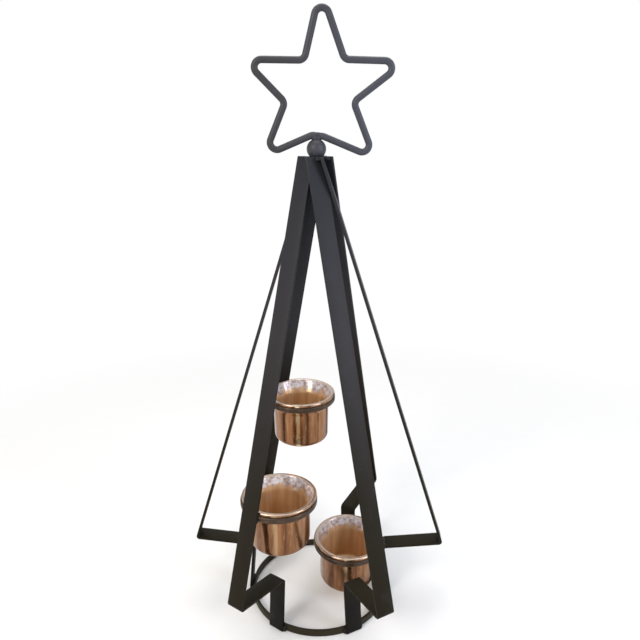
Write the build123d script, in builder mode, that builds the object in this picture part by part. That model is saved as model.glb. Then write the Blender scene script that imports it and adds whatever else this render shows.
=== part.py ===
from build123d import *
import os
from math import atan, cos, radians, sin, tan

# Candelabra in the shape of a fir tree: six flat-strap legs stand on a base ring,
# a wire star on a ball tops them, and three rings on the legs hold glass votive cups.
# Millimetres, +Z up. The table top is Z = 0 and the front of the object is -Y.

# Flat strap of the legs
strap_width = 16.0
strap_thickness = 2.5
tip_bend_radius = 3.2
knee_bend_radius = 1.4

# Side profile of a leg: distance from the tree's axis and height of its outer face
top_radius = 6.6
legs_top = 419.0
tip_radius = 120.3
tip_height = 58.9
knee_radius = 64.4
knee_height = 52.7

# Legs: bearing in degrees from the front, positive to the right, and how far the
# top of the leg stands to the left of its own bearing, seen from outside
legs = {
    "front_left": (-37.0, 7.0),
    "front_right": (27.0, 3.8),
    "right": (86.5, 5.0),
    "back_right": (149.5, 4.6),
    "back_left": (-150.5, 4.0),
    "left": (-93.0, 5.0),
}

# Plate that closes the top
top_plate_thickness = 2.5

# Base ring, a flat bar on edge, and the beads that weld the legs to it
base_ring_radius = 66.0
base_ring_height = 6.5
base_ring_thickness = 2.7
foot_gap = 0.1
foot_lift = 0.6
foot_weld_radius = 2.0
foot_weld_height = 5.5

# The tree's axis stands behind the middle of the outline that the legs fill
axis_y = 1.1

# Ball, and the star's wire with the collar of weld that joins them
ball_radius = 7.9
ball_sink = 2.2
star_wire = 5.5
star_bend = 5.6
star_sink = 0.45
star_end_gap = 0.3
star_weld_radius = 5.0
star_weld_height = 3.6

# Corners of the star's bent wire, from the top of the ball: across and up
star_corners = [
    (-3.2, 2.9),
    (-42.1, -13.2),
    (-24.5, 27.6),
    (-55.8, 59.2),
    (-9.0, 58.4),
    (3.7, 108.4),
    (22.1, 58.8),
    (69.6, 57.3),
    (29.5, 27.7),
    (46.9, -15.2),
    (5.6, 1.8),
]

# Glass votive cup: a round body that flares under its mouth into a thick lip
cup_body_radius = 26.8
cup_taper = 0.6
cup_depth_below_ring = 40.4
cup_wall = 2.4
cup_floor = 4.0
cup_foot_round = 6.0
cup_flare = 3.1
cup_flare_height = 10.1
cup_flare_round = 10.0
cup_lip_ledge = 2.9
cup_lip_height = 2.9
cup_lip_width = 3.6
cup_lip_round = 1.2

# Rings that hold the cups. A cup rests with its lip on its ring, a little away from the leg
cup_ring_height = 5.0
cup_ring_thickness = 2.5
cup_ring_play = 1.1
cup_rest_gap = 0.1
cup_inset = 0.6
ring_gap = 0.05
ring_weld_length = 11.0
ring_weld_radius = 2.0

# The leg behind each of the two higher rings, the height of the ring's lower edge, and
# how far its middle stands to the right of the leg's own middle, seen from outside
upper_ring_leg = "back_left"
upper_ring_height = 189.8
upper_ring_shift = -3.0
middle_ring_leg = "front_left"
middle_ring_height = 131.9
middle_ring_shift = 2.5

# The lower ring stands over the knee of its leg, leaning a little, in degrees
lower_ring_leg = "right"
lower_ring_above_knee = 4.1
lower_ring_reach = 0.6
lower_ring_shift = -5.4
lower_ring_lean_right = 1.5
lower_ring_lean_front = 3.2
lower_weld_reach = 1.0
lower_weld_shift = 2.0

# Sizes that follow
leg_slope = atan((tip_radius - top_radius) / (legs_top - tip_height))
cup_foot_radius = cup_body_radius - cup_taper
cup_neck_radius = cup_body_radius + cup_flare
cup_lip_radius = cup_neck_radius + cup_lip_ledge
cup_ring_radius = cup_neck_radius + cup_ring_play + cup_ring_thickness
top_plate_top = legs_top + top_plate_thickness
ball_centre_z = top_plate_top + ball_radius - ball_sink
ball_top = ball_centre_z + ball_radius
profile_overrun = 12.0

os.makedirs("parts", exist_ok=True)


def save(builder, name):
    builder.part.label = name
    export_step(builder.part, f"parts/{name}.step")


def outward(bearing):
    return Vector(sin(radians(bearing)), -cos(radians(bearing)), 0)


def rightward(bearing):
    return Vector(cos(radians(bearing)), sin(radians(bearing)), 0)


def axis_point(height):
    return Vector(0, axis_y, height)


def face_radius(height):
    # Distance of a leg's outer face from the axis, above the tip
    drop = (legs_top - height) / (legs_top - tip_height)
    return top_radius + (tip_radius - top_radius) * drop


def sideways(leg, height):
    # Where the middle of a leg stands, to the right of its bearing, at a height
    top_offset = legs[leg][1]
    return -top_offset * (height - tip_height) / (legs_top - tip_height)


def leg_plane(leg):
    # Plane of the leg's side profile, from the axis at the height of the tip
    bearing, top_offset = legs[leg]
    lean = atan(top_offset / (legs_top - tip_height))
    normal = rightward(bearing) * -cos(lean) - Vector(0, 0, 1) * sin(lean)
    return Plane(axis_point(tip_height), x_dir=outward(bearing), z_dir=normal)


def leg_outline():
    # Corners of the leg's outer face, from above the top to below the table
    top = (face_radius(legs_top + profile_overrun), legs_top + profile_overrun - tip_height)
    foot_radius = base_ring_radius + foot_gap + strap_thickness
    splay = (foot_radius - knee_radius) / (knee_height - base_ring_height)
    foot = (foot_radius + splay * (base_ring_height + profile_overrun), -profile_overrun - tip_height)
    return [top, (tip_radius, 0), (knee_radius, knee_height - tip_height), foot]


def make_leg(leg):
    with BuildPart() as whole_leg:
        with BuildSketch(leg_plane(leg)):
            with BuildLine():
                face = FilletPolyline(*leg_outline(), radius=[tip_bend_radius, knee_bend_radius])
                offset(face, amount=strap_thickness, side=Side.RIGHT)
            make_face()
        extrude(amount=strap_width / 2, both=True)
        split(bisect_by=Plane.XY.offset(legs_top), keep=Keep.BOTTOM)
        split(bisect_by=Plane.XY.offset(foot_lift), keep=Keep.TOP)
    return whole_leg


def trim_leg(whole_leg, neighbour):
    # The edge of a leg is ground away where the next leg crosses it at the top
    with BuildPart() as crossed:
        add(whole_leg.part)
        add(neighbour.part, mode=Mode.SUBTRACT)
    with BuildPart() as leg:
        add(crossed.solids().sort_by(SortBy.VOLUME)[-1])
    return leg


# Legs, each trimmed against the next one to its right
leg_names = list(legs)
whole_legs = {leg: make_leg(leg) for leg in leg_names}
trimmed_legs = {}
for index, leg in enumerate(leg_names):
    neighbour = leg_names[(index + 1) % len(leg_names)]
    trimmed_legs[leg] = trim_leg(whole_legs[leg], whole_legs[neighbour])
    save(trimmed_legs[leg], f"leg_{leg}")


# Base ring
with BuildPart() as base_ring:
    with BuildSketch(Plane(axis_point(0))):
        Circle(base_ring_radius)
        Circle(base_ring_radius - base_ring_thickness, mode=Mode.SUBTRACT)
    extrude(amount=base_ring_height)
save(base_ring, "base_ring")


# Beads of weld on both edges of every foot
with BuildPart() as foot_welds:
    for leg in legs:
        bearing = legs[leg][0]
        middle = sideways(leg, foot_lift)
        for edge in (-strap_width / 2, strap_width / 2):
            spot = (
                axis_point(foot_lift)
                + outward(bearing) * (base_ring_radius + foot_gap)
                + rightward(bearing) * (middle + edge)
            )
            with BuildSketch(Plane(spot)):
                Circle(foot_weld_radius)
            extrude(amount=foot_weld_height)
    add(base_ring.part, mode=Mode.SUBTRACT)
    for leg in legs:
        add(trimmed_legs[leg].part, mode=Mode.SUBTRACT)
save(foot_welds, "foot_welds")


# Top plate, which covers the ends of all six straps
with BuildPart() as top_plate:
    with BuildSketch(Plane(axis_point(legs_top))):
        reach = face_radius(legs_top)
        for leg in legs:
            bearing = legs[leg][0]
            centre = outward(bearing) * (reach / 2) + rightward(bearing) * sideways(leg, legs_top)
            with Locations(Location((centre.X, centre.Y, 0), (0, 0, bearing - 90))):
                Rectangle(reach, strap_width)
    extrude(amount=top_plate_thickness)
save(top_plate, "top_plate")


# Star, one round wire bent to and fro, its ends together over the ball
with BuildPart() as star:
    star_plane = Plane(axis_point(ball_top), x_dir=Vector(1, 0, 0), z_dir=Vector(0, -1, 0))
    end_height = star_wire / 2 - star_sink
    ends = [(-star_end_gap / 2, end_height), (star_end_gap / 2, end_height)]
    with BuildLine(star_plane) as star_line:
        FilletPolyline(ends[0], *star_corners, ends[1], radius=star_bend)
    with BuildSketch(Plane(star_line.line @ 0, z_dir=star_line.line % 0)):
        Circle(star_wire / 2)
    sweep(transition=Transition.ROUND)
save(star, "star")


# Ball under the star, flat where it sits on the plate
with BuildPart() as ball:
    with Locations(axis_point(ball_centre_z)):
        Sphere(ball_radius)
    split(bisect_by=Plane.XY.offset(top_plate_top), keep=Keep.TOP)
    add(star.part, mode=Mode.SUBTRACT)
save(ball, "ball")


# Collar of weld between the ball and the two ends of the wire
with BuildPart() as star_weld:
    with BuildSketch(Plane(axis_point(ball_top - star_weld_height / 2))):
        Circle(star_weld_radius)
    extrude(amount=star_weld_height)
    add(ball.part, mode=Mode.SUBTRACT)
    add(star.part, mode=Mode.SUBTRACT)
save(star_weld, "star_weld")


def ring_spot(leg, height, shift):
    # Middle of a cup ring at its lower edge, with its upper edge close to the leg
    bearing = legs[leg][0]
    meeting_height = height + cup_ring_height
    inner_face = face_radius(meeting_height) - strap_thickness / cos(leg_slope)
    distance = inner_face - ring_gap - cup_ring_radius
    across = sideways(leg, meeting_height) + shift
    return axis_point(height) + outward(bearing) * distance + rightward(bearing) * across


def knee_spot():
    # Middle of the lower ring, which reaches a little way over the knee of its leg
    bearing = legs[lower_ring_leg][0]
    distance = knee_radius - strap_thickness + lower_ring_reach - cup_ring_radius
    height = knee_height + lower_ring_above_knee
    return axis_point(height) + outward(bearing) * distance + rightward(bearing) * lower_ring_shift


# Where each ring stands, the leg that carries it, and how far its cup stands off centre
lower_ring_axis = Vector(tan(radians(lower_ring_lean_right)), -tan(radians(lower_ring_lean_front)), 1)
ring_planes = {
    "upper": Plane(ring_spot(upper_ring_leg, upper_ring_height, upper_ring_shift)),
    "middle": Plane(ring_spot(middle_ring_leg, middle_ring_height, middle_ring_shift)),
    "lower": Plane(knee_spot(), z_dir=lower_ring_axis),
}
ring_legs = {"upper": upper_ring_leg, "middle": middle_ring_leg, "lower": lower_ring_leg}
cup_insets = {"upper": cup_inset, "middle": cup_inset, "lower": 0}


def make_cup_ring(place):
    with BuildPart() as ring:
        with BuildSketch(ring_planes[place]):
            Circle(cup_ring_radius)
            Circle(cup_ring_radius - cup_ring_thickness, mode=Mode.SUBTRACT)
        extrude(amount=cup_ring_height)
    return ring


def weld_spot(place):
    # Under the edge of the ring, in the wedge between it and the strap
    bearing = legs[ring_legs[place]][0]
    centre = ring_planes[place].origin
    if place == "lower":
        along = outward(bearing) * (cup_ring_radius + lower_weld_reach) + rightward(bearing) * lower_weld_shift
        return centre + along - Vector(0, 0, ring_weld_radius / 2)
    wedge = face_radius(centre.Z) - face_radius(centre.Z + cup_ring_height)
    return centre + outward(bearing) * (cup_ring_radius + wedge / 2) + Vector(0, 0, ring_weld_radius / 2)


def make_ring_weld(place, ring):
    # A bead along the lower edge of the ring
    leg = ring_legs[place]
    across = rightward(legs[leg][0])
    with BuildPart() as weld:
        with BuildSketch(Plane(weld_spot(place) - across * (ring_weld_length / 2), z_dir=across)):
            Circle(ring_weld_radius)
        extrude(amount=ring_weld_length)
        add(ring.part, mode=Mode.SUBTRACT)
        add(trimmed_legs[leg].part, mode=Mode.SUBTRACT)
    return weld


def make_cup(place):
    # Thick-walled glass cup turned about its own axis, with its lip just over its ring
    ring_plane = ring_planes[place]
    centre = ring_plane.origin - outward(legs[ring_legs[place]][0]) * cup_insets[place]
    lip_under = cup_ring_height + cup_rest_gap
    mouth = lip_under + cup_lip_height
    flare_start = lip_under - cup_flare_height
    floor = -cup_depth_below_ring + cup_floor
    foot_corner = (cup_foot_radius, -cup_depth_below_ring)
    outer_bend = (cup_body_radius, flare_start)
    neck = (cup_neck_radius, lip_under)
    lip_low = (cup_lip_radius, lip_under)
    lip_high = (cup_lip_radius, mouth)
    mouth_edge = (cup_lip_radius - cup_lip_width, mouth)
    inner_bend = (cup_body_radius - cup_wall, flare_start)
    floor_corner = (cup_foot_radius - cup_wall, floor)
    cup_plane = Plane(centre, x_dir=ring_plane.x_dir, z_dir=ring_plane.y_dir * -1)
    rounds = [
        (foot_corner, cup_foot_round),
        (outer_bend, cup_flare_round),
        (lip_low, cup_lip_round),
        (lip_high, cup_lip_round),
        (mouth_edge, cup_lip_round),
        (inner_bend, cup_flare_round),
        (floor_corner, cup_foot_round - cup_wall),
    ]
    with BuildPart() as cup:
        with BuildSketch(cup_plane) as profile:
            with BuildLine():
                Polyline(
                    (0, -cup_depth_below_ring),
                    foot_corner,
                    outer_bend,
                    neck,
                    lip_low,
                    lip_high,
                    mouth_edge,
                    inner_bend,
                    floor_corner,
                    (0, floor),
                    close=True,
                )
            make_face()
            for corner, radius in rounds:
                fillet(profile.vertices().sort_by_distance(corner)[0], radius=radius)
        revolve(axis=Axis(centre, ring_plane.z_dir))
    return cup


# Cup rings, their welds and the cups
for place in ring_planes:
    cup_ring = make_cup_ring(place)
    save(cup_ring, f"cup_ring_{place}")
    save(make_ring_weld(place, cup_ring), f"ring_weld_{place}")
    save(make_cup(place), f"glass_cup_{place}")
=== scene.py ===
from math import pi, radians, tan

import bpy
from mathutils import Matrix, Vector


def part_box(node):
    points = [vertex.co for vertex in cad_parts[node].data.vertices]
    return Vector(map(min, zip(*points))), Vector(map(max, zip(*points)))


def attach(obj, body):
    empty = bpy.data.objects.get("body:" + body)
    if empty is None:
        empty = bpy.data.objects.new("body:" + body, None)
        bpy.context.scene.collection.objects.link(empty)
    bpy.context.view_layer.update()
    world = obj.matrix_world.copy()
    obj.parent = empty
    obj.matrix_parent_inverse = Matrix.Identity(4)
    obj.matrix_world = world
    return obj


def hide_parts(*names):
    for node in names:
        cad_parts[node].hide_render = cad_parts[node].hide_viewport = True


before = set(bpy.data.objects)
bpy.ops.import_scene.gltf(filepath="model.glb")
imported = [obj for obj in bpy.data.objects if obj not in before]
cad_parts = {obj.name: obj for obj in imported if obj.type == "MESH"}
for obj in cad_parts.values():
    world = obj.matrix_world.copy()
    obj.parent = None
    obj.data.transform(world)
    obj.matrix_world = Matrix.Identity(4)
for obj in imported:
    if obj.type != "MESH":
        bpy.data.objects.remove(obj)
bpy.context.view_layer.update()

# Sizes, in metres. The tree stands on Z = 0 with its front towards -Y

MM = 0.001
upright = Vector((0, 0, 1))

# Straps and cap. The lean is how far a strap moves inwards for each metre that it rises
strap_lean = 0.3157
strap_edge = 0.5 * MM
cap_share = 0.88
cap_drop = 0.15 * MM
cap_edge = 0.3 * MM

# Base ring, a flat bar on edge
base_thickness = 2.7 * MM
base_edge = 0.6 * MM

# Cup rings, flat bars on edge
ring_height = 5.0 * MM
ring_thickness = 2.5 * MM
ring_edge = 0.9 * MM
ring_play = 1.1 * MM

# Cups. Heights are from the lower edge of the ring that a cup hangs in
cup_depth = 40.4 * MM
cup_radius = 26.8 * MM
cup_taper = 0.6 * MM
cup_wall = 2.4 * MM
cup_floor = 4.0 * MM
foot_round = 6.0 * MM
flare = 3.1 * MM
flare_height = 10.1 * MM
flare_round_outside = 1.5 * MM
flare_round_inside = 1.8 * MM
rest_gap = 0.1 * MM
lip_ledge = 2.9 * MM
lip_height = 2.9 * MM
lip_width = 3.6 * MM
lip_round_under = 1.1 * MM
lip_round = 1.2 * MM

foot_radius = cup_radius - cup_taper
neck_radius = cup_radius + flare
lip_radius = neck_radius + lip_ledge
ring_radius = neck_radius + ring_play + ring_thickness
lip_under = ring_height + rest_gap
flare_start = lip_under - flare_height
cup_mouth = lip_under + lip_height

# Each corner is (radius, height, rounding)
cup_outline = [
    (0, -cup_depth, 0),
    (foot_radius, -cup_depth, foot_round),
    (cup_radius, flare_start, flare_round_outside),
    (neck_radius, lip_under, 0),
    (lip_radius, lip_under, lip_round_under),
    (lip_radius, cup_mouth, lip_round),
    (lip_radius - lip_width, cup_mouth, lip_round),
    (cup_radius - cup_wall, flare_start, flare_round_inside),
    (foot_radius - cup_wall, -cup_depth + cup_floor, foot_round - cup_wall),
    (0, -cup_depth + cup_floor, 0),
]

# The lower cup and its ring lean to the right and to the front
lean_right = radians(1.5)
lean_front = radians(3.2)


# Modelling

def pick_up(piece):
    """Selects one piece and nothing else."""
    bpy.ops.object.select_all(action="DESELECT")
    piece.select_set(True)
    bpy.context.view_layer.objects.active = piece


def edit(piece):
    """Opens one piece in edit mode."""
    pick_up(piece)
    bpy.ops.object.mode_set(mode="EDIT")


def leave_edit():
    bpy.ops.object.mode_set(mode="OBJECT")


def apply_modifier(piece, kind, **settings):
    pick_up(piece)
    modifier = piece.modifiers.new(kind.title(), kind)
    for name, value in settings.items():
        setattr(modifier, name, value)
    bpy.ops.object.modifier_apply(modifier=modifier.name)


def smooth(piece, angle=35):
    pick_up(piece)
    bpy.ops.object.shade_smooth_by_angle(angle=radians(angle))


def round_edges(piece, width, segments=3):
    apply_modifier(
        piece, "BEVEL", width=width, segments=segments, limit_method="ANGLE",
        angle_limit=radians(40), use_clamp_overlap=True,
    )


def settle(piece, name):
    """Names a finished primitive and moves its place into its mesh."""
    pick_up(piece)
    bpy.ops.object.transform_apply(location=True, rotation=True, scale=True)
    piece.name = name
    return piece


def fit(piece, body, node, finish):
    """Puts a finished piece on its body in place of its plain solid."""
    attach(piece, body)
    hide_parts(node)
    piece.data.materials.clear()
    piece.data.materials.append(finish)


def copy_of(node, name):
    """A merged copy of a solid, with flat faces whole again."""
    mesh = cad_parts[node].data.copy()
    piece = bpy.data.objects.new(name, mesh)
    bpy.context.scene.collection.objects.link(piece)
    edit(piece)
    bpy.ops.mesh.select_all(action="SELECT")
    bpy.ops.mesh.remove_doubles(threshold=0.002 * MM)
    bpy.ops.mesh.dissolve_limited(angle_limit=radians(0.5))
    bpy.ops.mesh.select_all(action="DESELECT")
    leave_edit()
    return piece


def select_points(piece, wanted):
    """In edit mode, selects the points for which wanted(place) is true."""
    bpy.ops.mesh.select_all(action="DESELECT")
    bpy.ops.object.mode_set(mode="OBJECT")
    for point in piece.data.vertices:
        point.select = wanted(point.co)
    bpy.ops.object.mode_set(mode="EDIT")


def lean(piece, name, place, axis):
    """Leans a piece that was made round the upright axis, and puts it in its place."""
    piece.rotation_mode = "QUATERNION"
    piece.rotation_quaternion = upright.rotation_difference(axis)
    piece.location = place
    settle(piece, name)


def turned(name, place, axis, outline, steps):
    """Turns an outline round an axis. Each corner is (radius, height, rounding)."""
    bpy.ops.object.select_all(action="DESELECT")
    bpy.ops.mesh.primitive_plane_add(size=0.01, location=(0, 0, 0))
    piece = bpy.context.object
    edit(piece)
    bpy.ops.mesh.select_mode(type="VERT")
    bpy.ops.mesh.select_all(action="SELECT")
    bpy.ops.mesh.merge(type="CENTER")
    bpy.ops.transform.translate(value=(outline[0][0], 0, outline[0][1]))
    for here, after in zip(outline, outline[1:]):
        step = (after[0] - here[0], 0, after[1] - here[1])
        bpy.ops.mesh.extrude_vertices_move(TRANSFORM_OT_translate={"value": step})
    for radius, height, rounding in outline:
        if rounding:
            corner = Vector((radius, 0, height))
            select_points(piece, lambda point: (point - corner).length < 0.01 * MM)
            bpy.ops.mesh.bevel(affect="VERTICES", offset=rounding, segments=7)
    bpy.ops.mesh.select_all(action="SELECT")
    bpy.ops.mesh.spin(steps=steps, angle=2 * pi, center=(0, 0, 0), axis=(0, 0, 1))
    bpy.ops.mesh.select_all(action="SELECT")
    bpy.ops.mesh.remove_doubles(threshold=0.005 * MM)
    bpy.ops.mesh.normals_make_consistent(inside=False)
    leave_edit()
    lean(piece, name, place, axis)
    smooth(piece)
    return piece


def flat_bar_ring(name, place, axis, radius, height, thickness, edge):
    """A flat bar on edge, bent into a ring, with its lower edge at the place."""
    bpy.ops.object.select_all(action="DESELECT")
    bpy.ops.mesh.primitive_cylinder_add(
        vertices=192, radius=radius, depth=height, end_fill_type="NOTHING", location=(0, 0, height / 2),
    )
    ring = settle(bpy.context.object, name)
    apply_modifier(ring, "SOLIDIFY", thickness=thickness, offset=-1.0, use_even_offset=True)
    round_edges(ring, edge, 4)
    lean(ring, name, place, axis)
    smooth(ring)
    return ring


def run_together(piece, grain, rounds):
    """Gives a piece one soft skin, as melted metal has."""
    apply_modifier(piece, "REMESH", mode="VOXEL", voxel_size=grain)
    apply_modifier(piece, "SMOOTH", factor=0.5, iterations=rounds)


def weld_beads(node, name):
    """Weld beads over their plain solids, uneven along their length."""
    weld = copy_of(node, name)
    run_together(weld, 0.35 * MM, 4)
    ripples = bpy.data.textures.new(name, "CLOUDS")
    ripples.noise_scale = 1.5 * MM
    apply_modifier(
        weld, "DISPLACE", texture=ripples, strength=0.9 * MM, mid_level=0.55, texture_coords="LOCAL",
    )
    apply_modifier(weld, "SMOOTH", factor=0.5, iterations=2)
    smooth(weld, 180)
    return weld


def weld_collar(name, middle, blobs):
    """Blobs of weld, each (place from the middle, radius), run together into one skin."""
    made = []
    for place, radius in blobs:
        bpy.ops.object.select_all(action="DESELECT")
        bpy.ops.mesh.primitive_uv_sphere_add(
            segments=20, ring_count=12, radius=radius, location=middle + Vector(place),
        )
        made.append(settle(bpy.context.object, name))
    bpy.ops.object.select_all(action="DESELECT")
    for blob in made:
        blob.select_set(True)
    bpy.context.view_layer.objects.active = made[0]
    bpy.ops.object.join()
    weld = bpy.context.object
    weld.name = name
    run_together(weld, 0.25 * MM, 14)
    smooth(weld, 180)
    return weld


# Nodes and finishes

class Value:
    """A number that changes over the surface, with ordinary arithmetic."""

    def __init__(self, nodes, socket):
        self.nodes = nodes
        self.socket = socket

    def math(self, operation, first, second=0.0):
        made = self.nodes.node("ShaderNodeMath", {"operation": operation}, {0: first, 1: second})
        return Value(self.nodes, made.outputs[0])

    def __add__(self, other):
        return self.math("ADD", self, other)

    def __radd__(self, other):
        return self.math("ADD", other, self)

    def __sub__(self, other):
        return self.math("SUBTRACT", self, other)

    def __rsub__(self, other):
        return self.math("SUBTRACT", other, self)

    def __mul__(self, other):
        return self.math("MULTIPLY", self, other)

    def __rmul__(self, other):
        return self.math("MULTIPLY", other, self)

    def __truediv__(self, other):
        return self.math("DIVIDE", self, other)

    def __pow__(self, other):
        return self.math("POWER", self, other)

    def __abs__(self):
        return self.math("ABSOLUTE", self)


class Nodes:
    """The nodes of one material, or of the world."""

    def __init__(self, tree):
        self.tree = tree

    def node(self, kind, settings, sockets):
        """Adds a node: its settings first, then the values or links of its sockets."""
        made = self.tree.nodes.new(kind)
        for name, value in settings.items():
            if name == "stops":
                while len(made.color_ramp.elements) < len(value):
                    made.color_ramp.elements.new(0.5)
                for element, (place, color) in zip(made.color_ramp.elements, value):
                    element.position = place
                    element.color = (*color, 1.0)
            else:
                setattr(made, name, value)
        for name, value in sockets.items():
            self.put(made.inputs[name], value)
        return made

    def put(self, socket, value):
        """Links a socket to a value, or sets it. Colours are given without alpha."""
        if isinstance(value, Value):
            value = value.socket
        if isinstance(value, bpy.types.NodeSocket):
            self.tree.links.new(value, socket)
        elif socket.type == "RGBA":
            socket.default_value = (*value, 1.0)
        else:
            socket.default_value = value


class Finish(Nodes):
    """A material made of nodes, around one main shader."""

    def __init__(self, name):
        self.material = bpy.data.materials.new(name)
        self.material.use_nodes = True
        super().__init__(self.material.node_tree)
        self.shader = self.tree.nodes["Principled BSDF"]
        self.output = self.tree.nodes["Material Output"]

    def set(self, **sockets):
        for name, value in sockets.items():
            self.put(self.shader.inputs[name.replace("_", " ")], value)

    def places(self, shift=(0, 0, 0), turn=(0, 0, 0), scale=(1, 1, 1)):
        """Object coordinates, stretched, turned and then moved."""
        source = self.node("ShaderNodeTexCoord", {}, {})
        mapping = self.node(
            "ShaderNodeMapping", {},
            {"Vector": source.outputs["Object"], "Location": shift, "Rotation": turn, "Scale": scale},
        )
        return mapping.outputs[0]

    def split(self, vector):
        made = self.node("ShaderNodeSeparateXYZ", {}, {0: vector})
        return [Value(self, made.outputs[axis]) for axis in range(3)]

    def joined(self, x, y, z):
        return self.node("ShaderNodeCombineXYZ", {}, {0: x, 1: y, 2: z}).outputs[0]

    def noise(self, vector, scale, detail, roughness):
        made = self.node(
            "ShaderNodeTexNoise", {},
            {"Vector": vector, "Scale": scale, "Detail": detail, "Roughness": roughness},
        )
        return Value(self, made.outputs[0])

    def stretch(self, value, low, high, bottom=0.0, top=1.0):
        """Maps low..high to bottom..top, and holds it there outside."""
        made = self.node(
            "ShaderNodeMapRange", {"clamp": True},
            {0: value, 1: low, 2: high, 3: bottom, 4: top},
        )
        return Value(self, made.outputs[0])

    def blend(self, amount, first, second):
        """Colour between two colours."""
        made = self.node("ShaderNodeMix", {"data_type": "RGBA"}, {0: amount, 6: first, 7: second})
        return made.outputs[2]

    def bump(self, height, strength, distance, under=None):
        sockets = {"Strength": strength, "Distance": distance, "Height": height}
        if under is not None:
            sockets["Normal"] = under
        return self.node("ShaderNodeBump", {}, sockets).outputs[0]


def lighter(tint, times):
    return tuple(channel * times for channel in tint)


def powder_coat(name, axis, tints, specular):
    """Satin powder coat on steel. Its tint changes along an axis, each (place, tint); on the legs and on
    the star this change is painted light.
    It has a fine grain, rubbed patches and a few pale specks."""
    finish = Finish(name)
    place = finish.places()
    cloud = finish.noise(place, scale=22.0, detail=4.0, roughness=0.55)
    start, end = tints[0][0], tints[-1][0]
    along = finish.stretch(finish.split(place)[axis] + (cloud - 0.5) * 0.03, start, end)
    stops = [((spot - start) / (end - start), tint) for spot, tint in tints]
    tint = finish.node("ShaderNodeValToRGB", {"stops": stops}, {0: along}).outputs[0]
    pale = lighter(tints[-1][1], 1.7)
    rub = finish.stretch(finish.noise(place, scale=75.0, detail=6.0, roughness=0.62), 0.54, 0.76)
    specks = finish.stretch(finish.noise(place, scale=520.0, detail=1.0, roughness=0.5), 0.76, 0.82)
    tint = finish.blend(rub * 0.25, tint, pale)
    tint = finish.blend(specks * 0.3, tint, lighter(pale, 2.0))
    dimples = finish.noise(place, scale=260.0, detail=2.0, roughness=0.5)
    grain = finish.noise(place, scale=1500.0, detail=2.0, roughness=0.6)
    orange_peel = finish.bump(dimples, strength=0.10, distance=0.4 * MM)
    finish.set(
        Base_Color=tint,
        Roughness=0.44 + (cloud - 0.5) * 0.16 - rub * 0.06,
        Specular_IOR_Level=specular,
        Normal=finish.bump(grain, strength=0.12, distance=0.1 * MM, under=orange_peel),
    )
    return finish.material


def weld_skin(name, tint):
    """Coated weld: rippled, and paler in patches."""
    finish = Finish(name)
    cloud = finish.noise(finish.places(), scale=300.0, detail=4.0, roughness=0.6)
    ripple = finish.noise(finish.places(scale=(1, 1, 2.2)), scale=700.0, detail=2.0, roughness=0.5)
    finish.set(
        Base_Color=finish.blend(cloud, tint, lighter(tint, 1.9)),
        Roughness=0.44 + (cloud - 0.5) * 0.2,
        Specular_IOR_Level=0.15,
        Normal=finish.bump(ripple, strength=0.4, distance=0.4 * MM),
    )
    return finish.material


def dark_bronze(name):
    """Bar of the cup rings: near-black bronze, browner where it is rubbed."""
    near_black = (0.024, 0.015, 0.009)
    brown = (0.070, 0.040, 0.022)
    rubbed = (0.16, 0.095, 0.055)
    finish = Finish(name)
    place = finish.places()
    cloud = finish.noise(place, scale=60.0, detail=5.0, roughness=0.6)
    rub = finish.stretch(finish.noise(place, scale=180.0, detail=4.0, roughness=0.6), 0.48, 0.70)
    grain = finish.noise(place, scale=900.0, detail=3.0, roughness=0.6)
    finish.set(
        Base_Color=finish.blend(rub * 0.5, finish.blend(cloud, near_black, brown), rubbed),
        Metallic=0.5,
        Roughness=0.38 + (cloud - 0.5) * 0.18,
        Normal=finish.bump(grain, strength=0.15, distance=0.2 * MM),
    )
    return finish.material


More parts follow.
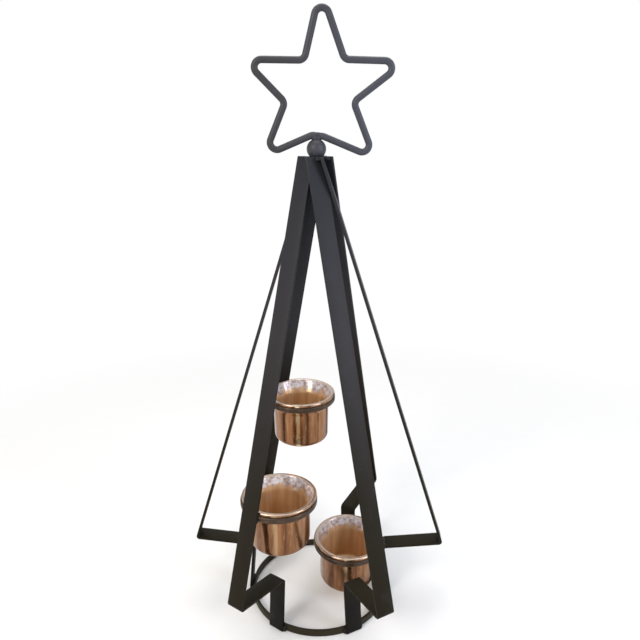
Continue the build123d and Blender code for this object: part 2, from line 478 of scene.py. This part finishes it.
def copper_lustre(name, place, axis, painted_gleam):
    """Glass with a copper lustre coat. Drawn streaks run down the wall. Fine pale streaks on them are
    painted highlights, and a narrow pale stripe left of the front is a painted reflection. Inside the
    mouth the coat thins to a silvery, mottled edge with ragged tongues. A pale tan stripe round the top
    of the lip is a painted highlight."""
    dark_copper, bright_copper = (0.110, 0.040, 0.014), (0.38, 0.180, 0.080)
    # The pale copper is a painted highlight, laid on the fine streaks
    painted_highlight_copper, deep_copper = (0.62, 0.36, 0.18), (0.165, 0.064, 0.022)
    dark_inside, bright_inside = (0.48, 0.27, 0.12), (0.74, 0.50, 0.29)
    tarnish, silver = (0.36, 0.25, 0.20), (0.80, 0.78, 0.84)
    # The first colour is a painted reflection on the outer wall, the second a painted highlight on the
    # top of the lip
    painted_reflection_cream, painted_rim_highlight_tan = (1.0, 0.86, 0.53), (0.45, 0.35, 0.28)
    # Radii between the wall's inner and outer skin, where the flare starts and at the mouth
    skin_below, skin_at_mouth = 25.5 * MM, 30.6 * MM

    # Places are seen from the cup's own axis, with the cup standing upright
    finish = Finish(name)
    unlean = upright.rotation_difference(axis).inverted()
    spot = finish.places(shift=tuple(-(unlean @ Vector(place))), turn=tuple(unlean.to_euler()))
    across, along, height = finish.split(spot)
    radius = (across * across + along * along) ** 0.5
    east, north = across / radius, along / radius

    # The streaks fade out towards the middle of the floor
    wall = finish.stretch(radius, 14 * MM, 23 * MM)
    cloud = finish.noise(spot, scale=70.0, detail=4.0, roughness=0.55)
    drawn = finish.noise(
        finish.joined(east, north, height * 2.0), scale=3.2, detail=5.0, roughness=0.60,
    )
    streaks = cloud + (drawn - cloud) * wall
    streaky = finish.stretch(streaks, 0.34, 0.66)
    fine = finish.noise(
        finish.joined(east, north, height * 5.0), scale=17.0, detail=3.0, roughness=0.6,
    ) * wall

    near_foot = finish.stretch(height, -cup_depth, -cup_depth + 16 * MM, bottom=1.0, top=0.0)
    # A narrow pale stripe left of the front, down the outer wall, is a painted reflection
    painted_reflection_band = finish.stretch(abs(east + 0.10 + (fine - 0.5) * 0.07), 0.04, 0.09, bottom=1.0, top=0.0)
    front = finish.stretch(north, -0.4, -0.1, bottom=1.0, top=0.0)
    outer = finish.blend(streaky, dark_copper, bright_copper)
    # Fine pale streaks: painted highlights
    outer = finish.blend(finish.stretch(fine, 0.50, 0.78) * 0.45, outer, painted_highlight_copper)
    outer = finish.blend(near_foot * 0.40, outer, deep_copper)
    outer = finish.blend(painted_reflection_band * front * painted_gleam, outer, painted_reflection_cream)

    skin = finish.stretch(height, flare_start, cup_mouth, skin_below, skin_at_mouth)
    inside = finish.stretch(skin - radius, 0.0, 0.2 * MM)
    tint = finish.blend(inside, outer, finish.blend(streaky, dark_inside, bright_inside))

    # The silvery edge reaches down to a different depth all round
    ragged = finish.noise(finish.joined(east, north, 0.0), scale=5.5, detail=5.0, roughness=0.78)
    reach = 3.5 * MM + (ragged - 0.30) * (26 * MM)
    bare = finish.stretch(reach - (cup_mouth - height), -0.9 * MM, 1.3 * MM) * inside
    mottle = finish.noise(spot, scale=240.0, detail=4.0, roughness=0.65)
    tint = finish.blend(bare, tint, finish.blend(finish.stretch(mottle, 0.38, 0.66), tarnish, silver))
    # A pale tan stripe round the top of the lip is a painted highlight along the rim
    lip = finish.stretch(height, cup_mouth - 1.3 * MM, cup_mouth - 0.4 * MM)
    tint = finish.blend(lip * 0.8, tint, painted_rim_highlight_tan)

    waves = finish.bump(streaks, strength=0.25, distance=0.9 * MM)
    finish.set(
        Base_Color=tint,
        Metallic=0.93 - inside * 0.58,
        Roughness=0.15 + cloud * 0.10 + fine * 0.04,
        Coat_Weight=0.2,
        Coat_Roughness=0.05,
        IOR=1.5,
        Normal=finish.bump(cloud, strength=0.10, distance=0.6 * MM, under=waves),
    )
    return finish.material


def pale_floor(name):
    """White table: pale and matt near the tree, plain white further out."""
    finish = Finish(name)
    place = finish.places()
    across, along, _ = finish.split(place)
    distance = (across * across + along * along) ** 0.5
    far = finish.stretch(distance, 0.22, 0.75)
    grain = finish.noise(place, scale=40.0, detail=3.0, roughness=0.5)
    finish.set(
        Base_Color=finish.blend(grain, (0.86, 0.86, 0.86), (0.90, 0.90, 0.895)),
        Roughness=0.9,
        Specular_IOR_Level=0.1,
    )
    white = finish.node("ShaderNodeEmission", {}, {"Color": (1.0, 1.0, 1.0), "Strength": 1.0})
    mixed = finish.node(
        "ShaderNodeMixShader", {},
        {0: far, 1: finish.shader.outputs[0], 2: white.outputs[0]},
    )
    finish.put(finish.output.inputs["Surface"], mixed.outputs[0])
    return finish.material


# The axis along which a coat's tint changes
sideways, upwards = 0, 2

# The legs are near black at their feet, brown above them and grey near the top. This is painted light: a
# warm painted reflection and painted shade low down, and cool painted light higher up
black_coat_painted_light = powder_coat("satin_black", upwards, (
    (0.030, (0.005, 0.004, 0.003)),
    (0.055, (0.012, 0.009, 0.003)),
    (0.150, (0.015, 0.012, 0.008)),
    (0.280, (0.029, 0.027, 0.029)),
    (0.400, (0.023, 0.024, 0.029)),
), 0.09)
base_coat = powder_coat("satin_olive", sideways, (
    (-0.07, (0.022, 0.018, 0.009)),
    (0.07, (0.026, 0.021, 0.011)),
), 0.12)
# The star and the ball are darker on the left and lighter and bluer on the right: painted light, as from
# a cool lamp on the right
star_coat_painted_side_light = powder_coat("satin_charcoal", sideways, (
    (-0.050, (0.032, 0.032, 0.033)),
    (0.045, (0.050, 0.051, 0.066)),
), 0.22)
black_weld = weld_skin("weld_black", (0.011, 0.009, 0.006))
star_weld_skin = weld_skin("weld_charcoal", (0.022, 0.023, 0.027))
bronze = dark_bronze("dark_bronze")


# Straps and cap

# The straps lean inwards and run on to the top of the cap
low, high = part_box("top_plate")
cap_middle = (low + high) / 2
cap_height = high.z - low.z
for leg in ("front_left", "front_right", "right", "back_right", "back_left", "left"):
    strap = copy_of(f"leg_{leg}", f"strap_{leg}")
    spread = [point.co - cap_middle for point in strap.data.vertices]
    outward = max(spread, key=lambda reach: reach.xy.length)
    inward = -outward.xy.normalized() * strap_lean * cap_height
    edit(strap)
    select_points(strap, lambda point: point.z > low.z - 0.1 * MM)
    bpy.ops.transform.translate(value=(inward.x, inward.y, cap_height))
    leave_edit()
    round_edges(strap, strap_edge)
    smooth(strap, 30)
    fit(strap, "stand", f"leg_{leg}", black_coat_painted_light)

# The cap fills the space between their ends, a little below them
cap = copy_of("top_plate", "cap_plate")
edit(cap)
bpy.ops.mesh.select_all(action="SELECT")
bpy.ops.transform.resize(value=(cap_share, cap_share, 1.0), center_override=cap_middle)
select_points(cap, lambda point: point.z > cap_middle.z)
bpy.ops.transform.translate(value=(0, 0, -cap_drop))
leave_edit()
round_edges(cap, cap_edge)
smooth(cap)
fit(cap, "stand", "top_plate", black_coat_painted_light)


# Star, ball and the weld between them

wire_star = copy_of("star", "wire_star")
smooth(wire_star, 60)
fit(wire_star, "stand", "star", star_coat_painted_side_light)

low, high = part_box("ball")
ball_radius = (high.x - low.x) / 2
ball_middle = Vector(((low.x + high.x) / 2, (low.y + high.y) / 2, high.z - ball_radius))
bpy.ops.object.select_all(action="DESELECT")
bpy.ops.mesh.primitive_uv_sphere_add(
    segments=96, ring_count=48, radius=ball_radius, location=ball_middle,
)
ball = settle(bpy.context.object, "round_ball")
edit(ball)
bpy.ops.mesh.select_all(action="SELECT")
bpy.ops.mesh.bisect(plane_co=(0, 0, low.z), plane_no=(0, 0, 1), use_fill=True, clear_inner=True)
leave_edit()
smooth(ball)
fit(ball, "stand", "ball", star_coat_painted_side_light)

low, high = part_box("star_weld")
collar = weld_collar("star_collar", (low + high) / 2, [
    ((0, 0, 0), 3.6 * MM),
    ((-1.9 * MM, 0, 1.0 * MM), 2.7 * MM),
    ((2.1 * MM, 0, 0.8 * MM), 2.6 * MM),
    ((0.2 * MM, 0, -1.8 * MM), 3.4 * MM),
    ((0.2 * MM, 0, 1.9 * MM), 2.7 * MM),
])
fit(collar, "stand", "star_weld", star_weld_skin)


# Base ring and welds

low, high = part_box("base_ring")
base_spot = Vector(((low.x + high.x) / 2, (low.y + high.y) / 2, low.z))
base_radius = (high.x - low.x) / 2
base = flat_bar_ring(
    "round_base", base_spot, upright, base_radius, high.z - low.z, base_thickness, base_edge,
)
fit(base, "stand", "base_ring", base_coat)
for node in ("foot_welds", "ring_weld_upper", "ring_weld_middle", "ring_weld_lower"):
    fit(weld_beads(node, f"{node}_beads"), "stand", node, black_weld)


# Cup rings and cups

leaning = Vector((tan(lean_right), -tan(lean_front), 1)).normalized()
# The third value is how strong the painted reflection on each cup's outer wall is
for place, axis, painted_gleam in (("upper", upright, 1.0), ("middle", upright, 0.15), ("lower", leaning, 0.25)):
    low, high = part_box(f"cup_ring_{place}")
    ring_spot = (low + high) / 2 - axis * (ring_height / 2)
    ring = flat_bar_ring(
        f"holder_{place}", ring_spot, axis, ring_radius, ring_height, ring_thickness, ring_edge,
    )
    fit(ring, "stand", f"cup_ring_{place}", bronze)

    cup_spot = ring_spot
    if axis == upright:
        low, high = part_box(f"glass_cup_{place}")
        cup_spot = Vector(((low.x + high.x) / 2, (low.y + high.y) / 2, ring_spot.z))
    cup = turned(f"votive_glass_{place}", cup_spot, axis, cup_outline, 160)
    glass = copper_lustre(f"copper_lustre_{place}", cup_spot, axis, painted_gleam)
    fit(cup, f"cup_{place}", f"glass_cup_{place}", glass)


# Studio

bpy.ops.object.select_all(action="DESELECT")
bpy.ops.mesh.primitive_plane_add(size=12.0, location=(0, 0, 0))
table = bpy.context.object
table.name = "pale_table"
table.data.materials.append(pale_floor("pale_table"))

# White where the camera or a reflection sees it, and dimmer as a light
world = bpy.data.worlds.new("studio")
bpy.context.scene.world = world
world.use_nodes = True
sky = Nodes(world.node_tree)
light = sky.tree.nodes["Background"]
sky.put(light.inputs["Color"], (1.0, 0.99, 0.98))
sky.put(light.inputs["Strength"], 0.50)
seen = sky.node("ShaderNodeBackground", {}, {"Color": (1.0, 1.0, 1.0), "Strength": 1.0})
path = sky.node("ShaderNodeLightPath", {}, {})
shown = Value(sky, path.outputs["Is Camera Ray"])
for kind in ("Is Glossy Ray", "Is Transmission Ray"):
    shown = shown.math("MAXIMUM", shown, path.outputs[kind])
chosen = sky.node("ShaderNodeMixShader", {}, {0: shown, 1: light.outputs[0], 2: seen.outputs[0]})
sky.put(sky.tree.nodes["World Output"].inputs["Surface"], chosen.outputs[0])


def softbox(name, place, towards, size, power, color):
    """A soft lamp at a place, turned towards a point."""
    lamp = bpy.data.lights.new(name, "AREA")
    lamp.shape = "RECTANGLE"
    lamp.size, lamp.size_y = size
    lamp.energy = power
    lamp.color = color
    holder = bpy.data.objects.new(name, lamp)
    bpy.context.scene.collection.objects.link(holder)
    holder.location = place
    holder.rotation_euler = (Vector(towards) - Vector(place)).to_track_quat("-Z", "Y").to_euler()


softbox("key", (-0.75, -0.85, 0.85), (0, 0, 0.2), (0.5, 0.8), 11.0, (1.0, 0.94, 0.88))
softbox("fill", (0.95, -0.55, 0.60), (0, 0, 0.22), (0.5, 0.8), 8.0, (0.77, 0.85, 1.0))
softbox("top", (0.0, 0.25, 1.25), (0, 0, 0.3), (0.9, 0.9), 7.0, (1.0, 1.0, 1.0))

bpy.context.scene.view_settings.view_transform = "Standard"


# Camera, in front of the tree and looking down on it. Angles in degrees, lens in millimetres

camera_place = (-0.00533, -0.52082, 0.45055)
camera_turn = -0.836
camera_tilt = 17.835
camera_roll = -0.258

camera = bpy.data.objects.new("camera", bpy.data.cameras.new("camera"))
bpy.context.scene.collection.objects.link(camera)
camera.data.sensor_width = 36.0
camera.data.lens = 35.24
camera.matrix_world = (
    Matrix.Translation(camera_place)
    @ Matrix.Rotation(radians(camera_turn), 4, "Z")
    @ Matrix.Rotation(radians(90 - camera_tilt), 4, "X")
    @ Matrix.Rotation(radians(camera_roll), 4, "Z")
)
bpy.context.scene.camera = camera
